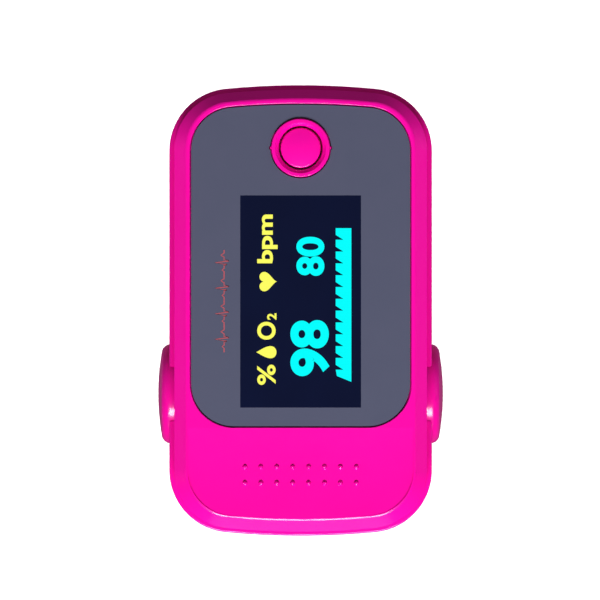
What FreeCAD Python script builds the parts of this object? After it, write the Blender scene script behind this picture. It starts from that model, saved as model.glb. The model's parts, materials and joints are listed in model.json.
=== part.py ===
"""Fingertip pulse oximeter: two sprung jaws on a steel pin, a display, a power button and two AAA cells.

Millimetres, +Z up. The device lies on its battery door. The finger goes in from +Y, and the squeeze
grips are at -Y. The origin is under the middle of the device, on the plane that it rests on.
"""
import FreeCAD, Part
import math
import os
from collections import namedtuple
from FreeCAD import Vector as V

os.makedirs("parts", exist_ok=True)

# ---------------------------------------------------------------- driving dimensions
LENGTH = 58.0            # outer length along Y
WIDTH = 33.8             # outer width of the shells, without the hinge caps
HEIGHT = 33.0            # closed height
WALL = 1.4               # shell wall
END_BULGE = 100.0        # radius of the gently curved end edges, in plan
CORNER = 8.0             # corner radius, in plan
GAP = 0.16               # assembly gap round a fitted piece
FIT = 0.1                # clearance between pieces that drop into each other
FLAT = 1e-6              # tolerance for picking edges by their height

# Hinge
HINGE_Y = -10.74
HINGE_Z = 21.3
WEDGE = math.radians(10.5)   # each grip falls away from the hinge by this angle, for 18 degrees of travel
WEDGE_SLOPE = math.tan(WEDGE)
PIN_R = 1.0
PIN_HALF = 16.9
KNUCKLE_R = 2.6
KNUCKLE_IN, KNUCKLE_OUT = 12.0, 14.3
KNUCKLE_ROOT = 2.2       # height of the block that joins a knuckle to its frame
EAR_IN, EAR_OUT = 14.7, 16.0
CAP_R = 6.4
CAP_TIP = 18.38          # half the width over the hinge caps
CAP_DOME, CAP_EDGE = 0.65, 1.15
CAP_CLEAR, CAP_FIT = 0.15, 0.02

# Torsion springs on the pin: a coil each side, with a leg held in a catch on each frame
COIL_R, COIL_WIRE_R, COIL_TURNS = 1.6, 0.3, 4
COIL_IN, COIL_OUT = 7.6, 11.2
COIL_ROOM_R, COIL_ROOM_IN, COIL_ROOM_OUT = 2.7, 7.0, 11.8
LEG_LENGTH = 10.0
CATCH_NEAR, CATCH_FAR = 7.4, 8.8
CATCH_LOW, CATCH_T, CATCH_HALF = 0.6, 2.6, 1.0

# Parting planes in front of the hinge
CHAMBER_Z = 20.3         # mid height of the finger chamber
HALF_PARTING = 0.15
UPPER_EDGE_Z = CHAMBER_Z + HALF_PARTING
LOWER_EDGE_Z = CHAMBER_Z - HALF_PARTING

# Top cover
LIP_Z = 26.84            # ledge between the skirt and the raised top
LIP_SIDE, LIP_END = 0.64, 0.58
LIP_T = 0.9              # height of the inner step that keeps the wall even under the ledge
LIP_ROUND, CREST_ROUND = 0.25, 0.4
SHOULDER_Z, SHOULDER_LEAN = 31.8, 0.06
CROWN_HALF, CROWN_REAR, CROWN_FRONT = 14.65, -26.84, 27.11
CROWN_CORNER = 5.9
FLOOR_Z = 31.85          # seat of the display panel
FLOOR_T = 1.2
SCOOP_DEPTH = 0.26       # thumb rest behind the panel
SCOOP_REAR, SCOOP_FRONT = -26.6, -15.05
SCOOP_RIM = 0.16         # from the thumb rest's sides to the crown's outline
SEAT_ROUND = 0.12        # rounding round the panel's seat

# Display panel, window and display
PANEL_HALF, PANEL_REAR, PANEL_FRONT = 14.03, -14.83, 26.39
PANEL_CORNER, PANEL_BULGE = 5.5, 100.0
PANEL_T = 1.0
WINDOW_W, WINDOW_L, WINDOW_Y = 15.54, 27.26, 1.16
MODULE_MARGIN = 0.9      # display glass outside the window
MODULE_T = 1.6
MODULE_FIT = 0.2         # room round the display in the cover's floor
GASKET_T = 0.4
TAIL_HALF, TAIL_T, TAIL_OUT = 5.0, 0.15, 0.75

# Power button
BUTTON_Y = 20.86
BUTTON_R = 2.56
BUTTON_DOME, BUTTON_EDGE = 0.33, 0.2
BUTTON_RISE = 0.15       # the cap's top over the cover
FLANGE_OUT, FLANGE_T = 0.6, 0.6
RING_R, RING_HOLE_R = 3.75, 2.83
RING_RISE, RING_ROUND = 0.2, 0.12
RING_CREST_R, RING_SLOPE = 3.28, 0.5   # the slope falls from the crest to the hole by this height
PIP_R = 0.16
BUTTON_TRAVEL = 0.3

# Raised grip dots
DOT_COLUMNS, DOT_ROWS = 8, 2
DOT_PITCH, DOT_ROW_PITCH = 2.04, 2.065
DOT_ROW_Y = -20.08
DOT_R = 0.33

# Finger chamber: elliptic sections about (x = 0, z = CHAMBER_Z), as (half width, half height)
CHANNEL = (8.0, 4.9)
PAD = (10.2, 6.4)
TROUGH = (10.3, 6.5)
ARCH = (11.5, 7.7)
NECK = (9.6, 5.6)
NECK_L, PAD_CLEAR = 6.0, 0.15
MOUTH = (9.7, 5.7)
CHANNEL_END_Y = -4.2
PAD_END_Y = -5.9
TROUGH_END_Y = -6.0
ARCH_END_Y = -7.2
PLATE_T = 1.2            # base plates of the two frames

# Optics
SENSOR_Y = 7.0
LENS_W, LENS_L, LENS_T, LENS_CORNER = 8.0, 7.0, 0.8, 0.6
LENS_OFFSET = CHANNEL[1] + 0.15   # from the chamber's axis to a lens's face
PHOTODIODE = (5.0, 4.2, 1.1)
PHOTODIODE_HOLE = (5.6, 4.8)
EMITTER_BOARD = (10.0, 8.6)
EMITTER_POCKET = (10.4, 9.0)
EMITTER = (3.8, 3.0, 0.45)
DIE_R, DIE_X, DIE_RISE = 0.65, 0.9, 0.2

# Sensor cable between the jaws
CABLE_Y, CABLE_END_Y = -8.1, 4.2
CABLE_HALF, CABLE_T = 1.9, 0.45
CABLE_FLOOR_Z = 11.85
CABLE_BEND = 1.6
CABLE_EXIT = (4.4, 1.6)

# Boards
BOARD_Z, BOARD_T, BOARD_HALF = 28.3, 1.0, 13.2
BOARD_REAR, BOARD_FRONT = -16.0, 25.2
EMITTER_BOARD_Z, EMITTER_BOARD_T = 13.12, 0.6
BOARD_TOP = BOARD_Z + BOARD_T
BOARD_CORNER = 0.99
SWITCH_SIDE, SWITCH_H = 3.4, 0.8
SWITCH_FLOOR = BOARD_TOP + 0.15
PLUNGER_R, PLUNGER_TOP = 0.9, BOARD_TOP + 1.2
POST_R = 1.1
BOARD_POSTS = [(12.2, 3.0), (9.4, -14.5)]

# Lower shell
LOWER_HALF, LOWER_END = 16.75, 28.8
BASE_HALF, BASE_END, BASE_CORNER = 14.7, 26.9, 6.2
TAPER_Z = 6.0
BASE_EDGE_R = 0.8
FLOOR_LOW = 1.4
LOWER_BOSS_Z = 7.0

# Battery bay and door
CELL_R, CELL_LENGTH = 5.25, 44.5
CELL_X, CELL_Z = 5.5, 7.0
CELL_EDGE, NUB_R, NUB_H = 0.4, 1.9, 0.9
BAY_HALF_LENGTH = 24.0
CONTACT_T, CONTACT_HALF, CONTACT_GAP = 0.3, 9.4, 1.2
CONTACT_LOW, CONTACT_HIGH = 3.0, 11.0
CONTACT_COIL_R, CONTACT_WIRE_R, CONTACT_TURNS, CONTACT_CONE = 3.6, 0.3, 4, 14.0
BAY_WALL_T, BAY_RIB_T = 1.0, 1.2
DOOR_HALF, DOOR_TONGUE = 11.2, 11.9
DOOR_T, DOOR_LEDGE = 1.3, 0.6
DOOR_FRONT = 24.5
GRIP_GROOVES, GRIP_PITCH, GRIP_REAR, GRIP_DEPTH = 5, 1.3, -20.0, 0.3
GRIP_W, GRIP_L = 12.0, 0.6
ARROW_HALF, ARROW_L, ARROW_Y = 2.0, 2.4, -11.0

# Screws, all self-tapping
SCREW_R, SCREW_HEAD_R, SCREW_HEAD_H, SCREW_L = 0.8, 1.5, 0.9, 6.0
SCREW_HOLE = 0.2         # clearance round a shank in its frame
HEAD_HOLE = 0.15         # clearance round a head
DRIVE_HALF_W, DRIVE_HALF_L, DRIVE_DEPTH = 0.18, 0.9, 0.45
UPPER_SCREWS = [(12.7, 23.2), (12.2, -23.4)]
LOWER_SCREWS = [(12.7, 23.0), (12.7, -23.0)]
BOSS_R, SEAT_R = 1.9, 2.6
SEAT_T = 1.5             # depth of a screw seat under its frame's plate

FAR = 40.0               # past every side of the device, for cutting tools

Outline = namedtuple("Outline", "half rear front corner rear_bulge front_bulge")
BODY = Outline(WIDTH / 2, -LENGTH / 2, LENGTH / 2, CORNER, END_BULGE, END_BULGE)
FOOT = Outline(WIDTH / 2 - LIP_SIDE, LIP_END - LENGTH / 2, LENGTH / 2 - LIP_END, CORNER - LIP_END,
               END_BULGE - LIP_END, END_BULGE - LIP_END)
SHOULDER = Outline(FOOT.half - SHOULDER_LEAN, FOOT.rear + SHOULDER_LEAN, FOOT.front - SHOULDER_LEAN,
                   FOOT.corner - SHOULDER_LEAN, END_BULGE - LIP_END, END_BULGE - LIP_END)
CROWN = Outline(CROWN_HALF, CROWN_REAR, CROWN_FRONT, CROWN_CORNER, END_BULGE, END_BULGE)
PANEL = Outline(PANEL_HALF, PANEL_REAR, PANEL_FRONT, PANEL_CORNER, None, PANEL_BULGE)
LOWER = Outline(LOWER_HALF, -LOWER_END, LOWER_END, CORNER, END_BULGE, END_BULGE)
BASE = Outline(BASE_HALF, -BASE_END, BASE_END, BASE_CORNER, END_BULGE, END_BULGE)


# ---------------------------------------------------------------- building blocks
def inset(o, d, side=None):
    """The outline moved inwards by d, or by side at the two long sides."""
    def curve(bulge):
        return None if bulge is None else bulge - d
    side = d if side is None else side
    bulges = curve(o.rear_bulge), curve(o.front_bulge)
    return Outline(o.half - side, o.rear + d, o.front - d, o.corner - d, *bulges)


def end_points(o, end, bulge):
    """One end's side point, corner middle, tangent point and end middle, all on the +X side."""
    sense = 1 if end > 0 else -1
    c = o.corner
    if bulge is None:
        cy = abs(end) - c
        tangent = (0.0, 1.0)
    else:
        base = abs(end) - bulge
        reach = math.sqrt((bulge - c) ** 2 - (o.half - c) ** 2)
        cy = base + reach
        tangent = ((o.half - c) / (bulge - c), reach / (bulge - c))
    middle = math.atan2(tangent[1], tangent[0]) / 2
    cx = o.half - c
    side = (o.half, cy)
    corner = (cx + c * math.cos(middle), cy + c * math.sin(middle))
    touch = (cx + c * tangent[0], cy + c * tangent[1])
    return [(x, sense * y) for x, y in (side, corner, touch, (0.0, abs(end)))]


def outline_wire(o, z):
    """A closed wire of the outline at height z."""
    f_side, f_corner, f_touch, f_mid = [V(x, y, z) for x, y in end_points(o, o.front, o.front_bulge)]
    r_side, r_corner, r_touch, r_mid = [V(x, y, z) for x, y in end_points(o, o.rear, o.rear_bulge)]

    def other(p):
        return V(-p.x, p.y, p.z)

    def end_edge(a, middle, b, bulge):
        return Part.LineSegment(a, b) if bulge is None else Part.Arc(a, middle, b)

    curves = [
        Part.LineSegment(r_side, f_side),
        Part.Arc(f_side, f_corner, f_touch),
        end_edge(f_touch, f_mid, other(f_touch), o.front_bulge),
        Part.Arc(other(f_touch), other(f_corner), other(f_side)),
        Part.LineSegment(other(f_side), other(r_side)),
        Part.Arc(other(r_side), other(r_corner), other(r_touch)),
        end_edge(other(r_touch), r_mid, r_touch, o.rear_bulge),
        Part.Arc(r_touch, r_corner, r_side),
    ]
    return Part.Wire([c.toShape() for c in curves])


def slab(o, z0, z1):
    """The outline as a plate from z0 to z1."""
    return Part.Face(outline_wire(o, z0)).extrude(V(0, 0, z1 - z0))


def taper(o0, z0, o1, z1):
    """A straight-sided solid from outline o0 at z0 to outline o1 at z1."""
    return Part.makeLoft([outline_wire(o0, z0), outline_wire(o1, z1)], True, True)


def box(x0, x1, y0, y1, z0, z1):
    return Part.makeBox(x1 - x0, y1 - y0, z1 - z0, V(x0, y0, z0))


def centred_box(w, l, y, z0, z1, x=0.0):
    return box(x - w / 2, x + w / 2, y - l / 2, y + l / 2, z0, z1)


def post(x, y, r, z0, z1):
    return Part.makeCylinder(r, z1 - z0, V(x, y, z0))


def hinge_rod(r, x0, x1):
    """A rod of radius r about the hinge axis."""
    return Part.makeCylinder(r, x1 - x0, V(x0, HINGE_Y, HINGE_Z), V(1, 0, 0))


def tunnel(section, y0, y1):
    """An elliptic rod along Y, about the finger chamber's axis."""
    ellipse = Part.Ellipse(V(0, 0, 0), *section).toShape()
    ellipse.rotate(V(0, 0, 0), V(1, 0, 0), 90)
    ellipse.translate(V(0, y0, CHAMBER_Z))
    return Part.Face(Part.Wire(ellipse)).extrude(V(0, y1 - y0, 0))


def side_profile(points, half):
    """A closed profile given as (y, z) points, extruded from -half to half along X."""
    corners = [V(-half, y, z) for y, z in points]
    face = Part.Face(Part.makePolygon(corners + corners[:1]))
    return face.extrude(V(2 * half, 0, 0))


def fuse(first, *others):
    return first.fuse(list(others)).removeSplitter() if others else first


def cut(body, *tools):
    return body.cut(list(tools)) if tools else body


def both_sides(x, y):
    return [(x, y), (-x, y)]


def level_edges(shape, z):
    """The edges that lie flat at height z."""
    return [e for e in shape.Edges if abs(e.BoundBox.ZMin - z) < FLAT and abs(e.BoundBox.ZMax - z) < FLAT]


def upright_edges(shape, height):
    """The edges that run the full height of a plate."""
    return [e for e in shape.Edges if e.BoundBox.ZLength > height / 2]


def hinge_hollows(r, x_in):
    """Room for the ears and caps, from x_in outwards on both sides."""
    return [hinge_rod(r, x_in, FAR), hinge_rod(r, -FAR, -x_in)]


def mirrored_rods(r, x_in, x_out):
    return [hinge_rod(r, x_in, x_out), hinge_rod(r, -x_out, -x_in)]


def save(name, shape):
    solids = shape.Solids
    for solid in solids:
        if not solid.isValid():
            print("invalid solid in", name)
    shape = solids[0] if len(solids) == 1 else Part.makeCompound(solids)
    shape.exportStep(os.path.join("parts", name + ".step"))
    print(f"{name}: {len(solids)} solids, {shape.Volume:.1f} mm3")


# ---------------------------------------------------------------- parting surfaces
def upper_edge(y):
    """Height of the upper jaw's lower edge behind the hinge."""
    return HINGE_Z + (HINGE_Y - y) * WEDGE_SLOPE


def lower_edge(y):
    """Height of the lower jaw's upper edge, which falls away once the wedge reaches it."""
    return min(LOWER_EDGE_Z, HINGE_Z - (HINGE_Y - y) * WEDGE_SLOPE)


WEDGE_START_Y = HINGE_Y - (HINGE_Z - LOWER_EDGE_Z) / WEDGE_SLOPE


def upper_profile(lift=0.0, thick=None):
    """The upper jaw's (y, z) edge raised by lift, closed upwards or as a plate of that thickness."""
    edge = [(FAR, UPPER_EDGE_Z + lift), (HINGE_Y, UPPER_EDGE_Z + lift)]
    edge += [(HINGE_Y, HINGE_Z + lift), (-FAR, upper_edge(-FAR) + lift)]
    if thick is None:
        return edge + [(-FAR, 2 * HEIGHT), (FAR, 2 * HEIGHT)]
    rear_z = upper_edge(-FAR) + lift + thick
    roof_z = HINGE_Z + lift + thick
    front_z = UPPER_EDGE_Z + lift + thick
    return edge + [(-FAR, rear_z), (HINGE_Y, roof_z), (HINGE_Y + 1.5 * thick, front_z), (FAR, front_z)]


def lower_profile(drop=0.0, thick=None):
    """The lower jaw's (y, z) edge lowered by drop, closed downwards or as a plate of that thickness."""
    level = LOWER_EDGE_Z - drop
    edge = [(FAR, level), (WEDGE_START_Y, level), (-FAR, lower_edge(-FAR) - drop)]
    if thick is None:
        return edge + [(-FAR, -HEIGHT), (FAR, -HEIGHT)]
    under = [(y, z - thick) for y, z in edge]
    return edge + under[::-1]


# ---------------------------------------------------------------- upper jaw
def upper_cavity(clear=0.0):
    """The room inside the top cover, under the panel floor."""
    inner = inset(BODY, WALL + clear)
    top = inset(SHOULDER, WALL + clear)
    room = taper(inner, LIP_Z - LIP_T, top, LIP_Z + LIP_T)
    room = room.fuse(slab(top, LIP_Z + LIP_T, FLOOR_Z - FLOOR_T - clear))
    return room.fuse(slab(inner, CHAMBER_Z - 8, LIP_Z - LIP_T))


SCOOP_Y = (SCOOP_FRONT + SCOOP_REAR) / 2
SCOOP_HALF = (SCOOP_FRONT - SCOOP_REAR) / 2
SCOOP_R = (SCOOP_HALF ** 2 + SCOOP_DEPTH ** 2) / (2 * SCOOP_DEPTH)
SCOOP_Z = HEIGHT - SCOOP_DEPTH + SCOOP_R


def scoop():
    """The thumb rest's shallow cylinder inside the crown's rim, for cutting."""
    hollow = Part.makeCylinder(SCOOP_R, FAR, V(-FAR / 2, SCOOP_Y, SCOOP_Z), V(1, 0, 0))
    return hollow.common(slab(inset(CROWN, SCOOP_RIM), FLOOR_Z, HEIGHT + 1))


def scoop_height(y):
    return SCOOP_Z - math.sqrt(SCOOP_R ** 2 - (y - SCOOP_Y) ** 2)


def grip_dots():
    """Two rows of small half balls on the thumb rest."""
    dots = []
    for row in range(DOT_ROWS):
        y = DOT_ROW_Y - row * DOT_ROW_PITCH
        for column in range(DOT_COLUMNS):
            x = (column - (DOT_COLUMNS - 1) / 2) * DOT_PITCH
            dots.append(Part.makeSphere(DOT_R, V(x, y, scoop_height(y))))
    return dots


def seat_rim(shell):
    """The top edges of the panel's seat."""
    seat = slab(inset(PANEL, -2 * GAP), HEIGHT - 1, HEIGHT + 1).BoundBox
    return [e for e in level_edges(shell, HEIGHT) if seat.isInside(e.BoundBox)]


def button_ring():
    """The raised collar that the button moves in, with a slope from its crest down to the hole."""
    top = HEIGHT + RING_RISE
    ring = post(0, BUTTON_Y, RING_R, FLOOR_Z - 0.2, top)
    ring = ring.makeFillet(RING_ROUND, level_edges(ring, top))
    slope = Part.makeCone(RING_HOLE_R, RING_CREST_R, RING_SLOPE, V(0, BUTTON_Y, top - RING_SLOPE))
    return cut(ring, post(0, BUTTON_Y, RING_HOLE_R, 0, top), slope)


def ring_pips(clear=0.0):
    """A locating pip at each side of the collar."""
    return [post(x, BUTTON_Y, PIP_R + clear, FLOOR_Z - 0.2, HEIGHT) for x in (-RING_R, RING_R)]


def boss_pair(screws, z0, z1):
    return [post(x, y, BOSS_R, z0, z1) for sx, sy in screws for x, y in both_sides(sx, sy)]


def screw_pilots(screws, z0, z1):
    return [post(x, y, SCREW_R, z0, z1) for sx, sy in screws for x, y in both_sides(sx, sy)]


def top_cover():
    skirt = slab(BODY, CHAMBER_Z - 4, LIP_Z)
    skirt = skirt.makeFillet(LIP_ROUND, level_edges(skirt, LIP_Z))
    bevel = taper(SHOULDER, SHOULDER_Z, CROWN, HEIGHT)
    bevel = bevel.makeFillet(CREST_ROUND, level_edges(bevel, HEIGHT))
    shell = fuse(skirt, taper(FOOT, LIP_Z, SHOULDER, SHOULDER_Z), bevel)
    shell = cut(shell, upper_cavity())
    boss_top = FLOOR_Z - FLOOR_T / 2
    rear_foot = upper_edge(UPPER_SCREWS[1][1]) + 2 * PLATE_T + FIT
    bosses = boss_pair(UPPER_SCREWS[:1], UPPER_EDGE_Z + PLATE_T + FIT, boss_top)
    bosses = [boss.cut(tunnel((ARCH[0] + FIT, ARCH[1] + FIT), 0, FAR)) for boss in bosses]
    bosses += boss_pair(UPPER_SCREWS[1:], rear_foot, boss_top)
    shell = fuse(shell, *bosses)
    shell = cut(shell, slab(inset(PANEL, -GAP), FLOOR_Z, HEIGHT + 1))
    shell = shell.makeFillet(SEAT_ROUND, seat_rim(shell))
    shell = cut(shell, scoop(), module_box(FLOOR_Z - 2 * FLOOR_T, HEIGHT, MODULE_FIT))
    shell = fuse(shell, *grip_dots())
    shell = cut(shell, post(0, BUTTON_Y, RING_HOLE_R, FLOOR_Z - 2 * FLOOR_T, HEIGHT))
    shell = fuse(shell, button_ring(), *ring_pips())
    shell = cut(shell, *screw_pilots(UPPER_SCREWS, CHAMBER_Z, FLOOR_Z - 2.0))
    shell = cut(shell, *hinge_hollows(CAP_R + CAP_CLEAR, EAR_IN - CAP_CLEAR), tunnel(MOUTH, SENSOR_Y, FAR))
    return shell.common(side_profile(upper_profile(), FAR))


def display_panel():
    panel = slab(PANEL, FLOOR_Z, FLOOR_Z + PANEL_T)
    hole = post(0, BUTTON_Y, RING_R + GAP, 0, HEIGHT)
    return cut(panel, hole, *ring_pips(GAP))


MODULE_TOP = FLOOR_Z - GASKET_T
MODULE_LOW = MODULE_TOP - MODULE_T


def module_box(z0, z1, clear=0.0):
    """The display's outline, grown by clear, from z0 to z1."""
    margin = 2 * (MODULE_MARGIN + clear)
    return centred_box(WINDOW_W + margin, WINDOW_L + margin, WINDOW_Y, z0, z1)


def display_module():
    return module_box(MODULE_LOW, MODULE_TOP)


def display_gasket():
    hole = centred_box(WINDOW_W + 2 * FIT, WINDOW_L + 2 * FIT, WINDOW_Y, 0, HEIGHT)
    return cut(module_box(MODULE_TOP, FLOOR_Z), hole)


def display_tape():
    """Foam tape between the display and the board."""
    return centred_box(WINDOW_W - 2, WINDOW_L - 4, WINDOW_Y, BOARD_TOP, MODULE_LOW)


def display_flex():
    """The display's flat tail, folded down to the board in front of it."""
    edge = WINDOW_Y + WINDOW_L / 2 + MODULE_MARGIN
    out = edge + TAIL_OUT
    top = MODULE_LOW + 0.5
    tail = box(-TAIL_HALF, TAIL_HALF, edge, out, top - TAIL_T, top)
    drop = box(-TAIL_HALF, TAIL_HALF, out - TAIL_T, out, BOARD_TOP, top)
    foot = box(-TAIL_HALF, TAIL_HALF, edge + TAIL_T, out, BOARD_TOP, BOARD_TOP + TAIL_T)
    return fuse(tail, drop, foot)


def main_board():
    board = box(-BOARD_HALF, BOARD_HALF, BOARD_REAR, BOARD_FRONT, BOARD_Z, BOARD_TOP)
    board = board.makeFillet(BOARD_CORNER, upright_edges(board, BOARD_T))
    front_screw = UPPER_SCREWS[0]
    reliefs = [post(x, y, BOSS_R + 0.3, 0, HEIGHT) for x, y in both_sides(*front_screw)]
    corners = [box(x - 2, x + 2, front_screw[1], FAR, 0, HEIGHT) for x in (-BOARD_HALF, BOARD_HALF)]
    return cut(board, *reliefs, *corners)


def board_chips():
    """Processor, amplifier, regulator, crystal and small passives under the board, beside the arch."""
    def chip(x, y, w, l, h):
        return centred_box(w, l, y, BOARD_Z - h, BOARD_Z, x)
    processor = chip(9.4, 9.5, 7.0, 7.0, 1.0)
    amplifier = chip(-9.2, 12.0, 4.9, 6.0, 0.9)
    regulator = chip(-9.4, 3.5, 3.0, 3.0, 0.9)
    crystal = chip(9.4, 17.5, 5.0, 3.2, 0.9)
    inductor = chip(-9.4, -3.0, 4.4, 3.0, 1.0)
    passives = [chip(x, y, 1.6, 0.8, 0.5) for x in (-10.2, -7.4, 7.4, 10.2) for y in (-7.5, -9.5, -11.5)]
    return Part.makeCompound([processor, amplifier, regulator, crystal, inductor] + passives)


def tact_switch():
    body = centred_box(SWITCH_SIDE, SWITCH_SIDE, BUTTON_Y, BOARD_TOP, BOARD_TOP + SWITCH_H)
    well = post(0, BUTTON_Y, PLUNGER_R + 0.05, SWITCH_FLOOR, HEIGHT)
    pads = [centred_box(0.7, 0.8, BUTTON_Y + y, BOARD_TOP, SWITCH_FLOOR, x)
            for x in (-2.05, 2.05) for y in (-1.1, 1.1)]
    return fuse(cut(body, well), *pads)


def switch_plunger():
    """The switch's plunger, which clears the floor of its well by a little more than the travel."""
    return post(0, BUTTON_Y, PLUNGER_R, SWITCH_FLOOR + BUTTON_TRAVEL + 0.05, PLUNGER_TOP)


def power_button():
    """A shallow domed cap with a flange under the cover's floor."""
    flange_top = FLOOR_Z - FLOOR_T - 0.05
    dome_r = (BUTTON_R ** 2 + BUTTON_DOME ** 2) / (2 * BUTTON_DOME)
    dome_top = HEIGHT + BUTTON_RISE
    cap = post(0, BUTTON_Y, BUTTON_R, flange_top - FLANGE_T / 2, dome_top)
    cap = cap.common(Part.makeSphere(dome_r, V(0, BUTTON_Y, dome_top - dome_r)))
    rim = [e for e in cap.Edges if e.BoundBox.ZLength < 0.01 and e.BoundBox.ZMin > FLOOR_Z]
    cap = cap.makeFillet(BUTTON_EDGE, rim)
    flange = post(0, BUTTON_Y, BUTTON_R + FLANGE_OUT, flange_top - FLANGE_T, flange_top)
    return cut(fuse(cap, flange), post(0, BUTTON_Y, BUTTON_R, 0, PLUNGER_TOP))


def upper_frame():
    plate = side_profile(upper_profile(0.0, PLATE_T), FAR)
    plate = fuse(plate, tunnel(ARCH, ARCH_END_Y, FAR).common(side_profile(upper_profile(), FAR)))
    knuckles = mirrored_rods(KNUCKLE_R, KNUCKLE_IN, KNUCKLE_OUT)
    for x0, x1 in ((KNUCKLE_IN, KNUCKLE_OUT), (-KNUCKLE_OUT, -KNUCKLE_IN)):
        rear, front = HINGE_Y - KNUCKLE_R, HINGE_Y + KNUCKLE_R
        knuckles.append(box(x0, x1, rear, front, HINGE_Z, HINGE_Z + KNUCKLE_ROOT))
    posts = [post(x, y, POST_R, max(UPPER_EDGE_Z, upper_edge(y)) + PLATE_T / 2, BOARD_Z)
             for place in BOARD_POSTS for x, y in both_sides(*place)]
    seats = [post(x, y, SEAT_R, UPPER_EDGE_Z, upper_edge(y) + 2 * PLATE_T)
             for x, y in both_sides(*UPPER_SCREWS[1])]
    frame = fuse(plate, *posts, *seats)
    frame = cut(frame, hinge_rod(PIN_R + 0.4, -FAR, FAR))
    frame = cut(frame, *mirrored_rods(COIL_ROOM_R, COIL_ROOM_IN, COIL_ROOM_OUT))
    frame = fuse(frame, *knuckles, *leg_catches(1))
    frame = cut(frame, hinge_rod(PIN_R + 0.05, -FAR, FAR), tunnel(TROUGH, TROUGH_END_Y, FAR))
    frame = cut(frame, *hinge_hollows(CAP_R + CAP_CLEAR, EAR_IN - CAP_CLEAR))
    frame = cut(frame, centred_box(*PHOTODIODE_HOLE, SENSOR_Y, CHAMBER_Z, HEIGHT))
    frame = cut(frame, cable_slot(CHAMBER_Z - 2, HEIGHT))
    frame = cut(frame, *screw_holes(UPPER_SCREWS))
    frame = cut(frame, *[post(x, y, SCREW_HEAD_R + HEAD_HOLE, 0, z) for x, y, z in upper_screw_seats()])
    return frame.common(upper_cavity(FIT)).common(side_profile(upper_profile(), FAR))


def upper_screw_seats():
    """Each upper screw's place, with the height of the face its head bears on."""
    front, rear = UPPER_SCREWS
    places = [(x, y, UPPER_EDGE_Z + 0.95) for x, y in both_sides(*front)]
    return places + [(x, y, upper_edge(y) + 1.25) for x, y in both_sides(*rear)]


def screw_holes(screws):
    """Clearance holes for the shanks, right through a frame."""
    return [post(x, y, SCREW_R + SCREW_HOLE, 0, HEIGHT) for s in screws for x, y in both_sides(*s)]


def screw(x, y, seat, up, length=SCREW_L):
    """A cross-head screw whose head bears on a face at z = seat; up is the way its shank points."""
    def span(r, a, b):
        return post(x, y, r, min(a, b), max(a, b))

    solid = fuse(span(SCREW_HEAD_R, seat - up * SCREW_HEAD_H, seat), span(SCREW_R, seat, seat + up * length))
    z0, z1 = sorted((seat - up * FAR, seat - up * DRIVE_DEPTH))
    slots = [box(x - w, x + w, y - l, y + l, z0, z1)
             for w, l in ((DRIVE_HALF_W, DRIVE_HALF_L), (DRIVE_HALF_L, DRIVE_HALF_W))]
    return cut(solid, *slots)


def upper_screws():
    return Part.makeCompound([screw(x, y, seat, 1, min(SCREW_L, FLOOR_Z - 2.2 - seat))
                              for x, y, seat in upper_screw_seats()])


def finger_pad(upper):
    """A silicone cushion: half an elliptic sleeve, closed behind the fingertip."""
    body = tunnel(PAD, PAD_END_Y, LENGTH / 2)
    if upper:
        body = body.common(upper_cavity(PAD_CLEAR))
        outline, half = BODY, (UPPER_EDGE_Z + 0.05, HEIGHT)
    else:
        body = body.common(lower_cavity(PAD_CLEAR))
        outline, half = LOWER, (0, LOWER_EDGE_Z - 0.05)
    neck = tunnel(NECK, LENGTH / 2 - NECK_L, FAR).common(slab(inset(outline, PAD_CLEAR), 0, HEIGHT))
    pad = cut(fuse(body, neck), tunnel(CHANNEL, CHANNEL_END_Y, FAR))
    pad = cut(pad, centred_box(LENS_W + 2 * FIT, LENS_L + 2 * FIT, SENSOR_Y, 0, HEIGHT))
    return pad.common(box(-FAR, FAR, -FAR, FAR, *half))


def lens_plate(z):
    plate = centred_box(LENS_W, LENS_L, SENSOR_Y, z, z + LENS_T)
    return plate.makeFillet(LENS_CORNER, upright_edges(plate, LENS_T))


def photodiode():
    width, length, thick = PHOTODIODE
    return centred_box(width, length, SENSOR_Y, BOARD_Z - thick, BOARD_Z)


# ---------------------------------------------------------------- lower jaw
def lower_cavity(clear=0.0):
    """The room inside the bottom cover, above its floor."""
    inner = inset(LOWER, WALL + clear)
    room = taper(inset(BASE, WALL + clear), FLOOR_LOW + clear, inner, TAPER_Z)
    return room.fuse(slab(inner, TAPER_Z, CHAMBER_Z + 4))


def lower_block():
    """The bottom cover's outer form: upright sides over a tapered base."""
    base = taper(BASE, 0, LOWER, TAPER_Z)
    base = base.makeFillet(BASE_EDGE_R, level_edges(base, 0))
    return fuse(base, slab(LOWER, TAPER_Z, CHAMBER_Z + 4))


def door_section(clear):
    """The door's plate and its two tongues, grown by clear, from past the rear end to the front edge."""
    front, top = DOOR_FRONT + clear, DOOR_T + clear
    half, tongue = DOOR_HALF + clear, DOOR_TONGUE + clear
    plate = box(-half, half, -FAR, front, -1, top)
    return plate.fuse(box(-tongue, tongue, -FAR, front, DOOR_LEDGE - clear + FIT, top))


def battery_bay():
    """Side walls and end ribs of the battery bay."""
    wall_in = DOOR_TONGUE + 0.15
    wall_out = wall_in + BAY_WALL_T
    top = CELL_Z + CELL_R - 0.2
    rib = BAY_HALF_LENGTH + CONTACT_T + 0.05
    rib_out = rib + BAY_RIB_T
    walls = [box(x0, x1, -rib - 1.0, rib + 1.0, 1.0, top)
             for x0, x1 in ((-wall_out, -wall_in), (wall_in, wall_out))]
    ribs = [box(-wall_out, wall_out, y0, y1, DOOR_T + 2 * FIT, top)
            for y0, y1 in ((-rib_out, -rib), (rib, rib_out))]
    return walls + ribs


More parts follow.
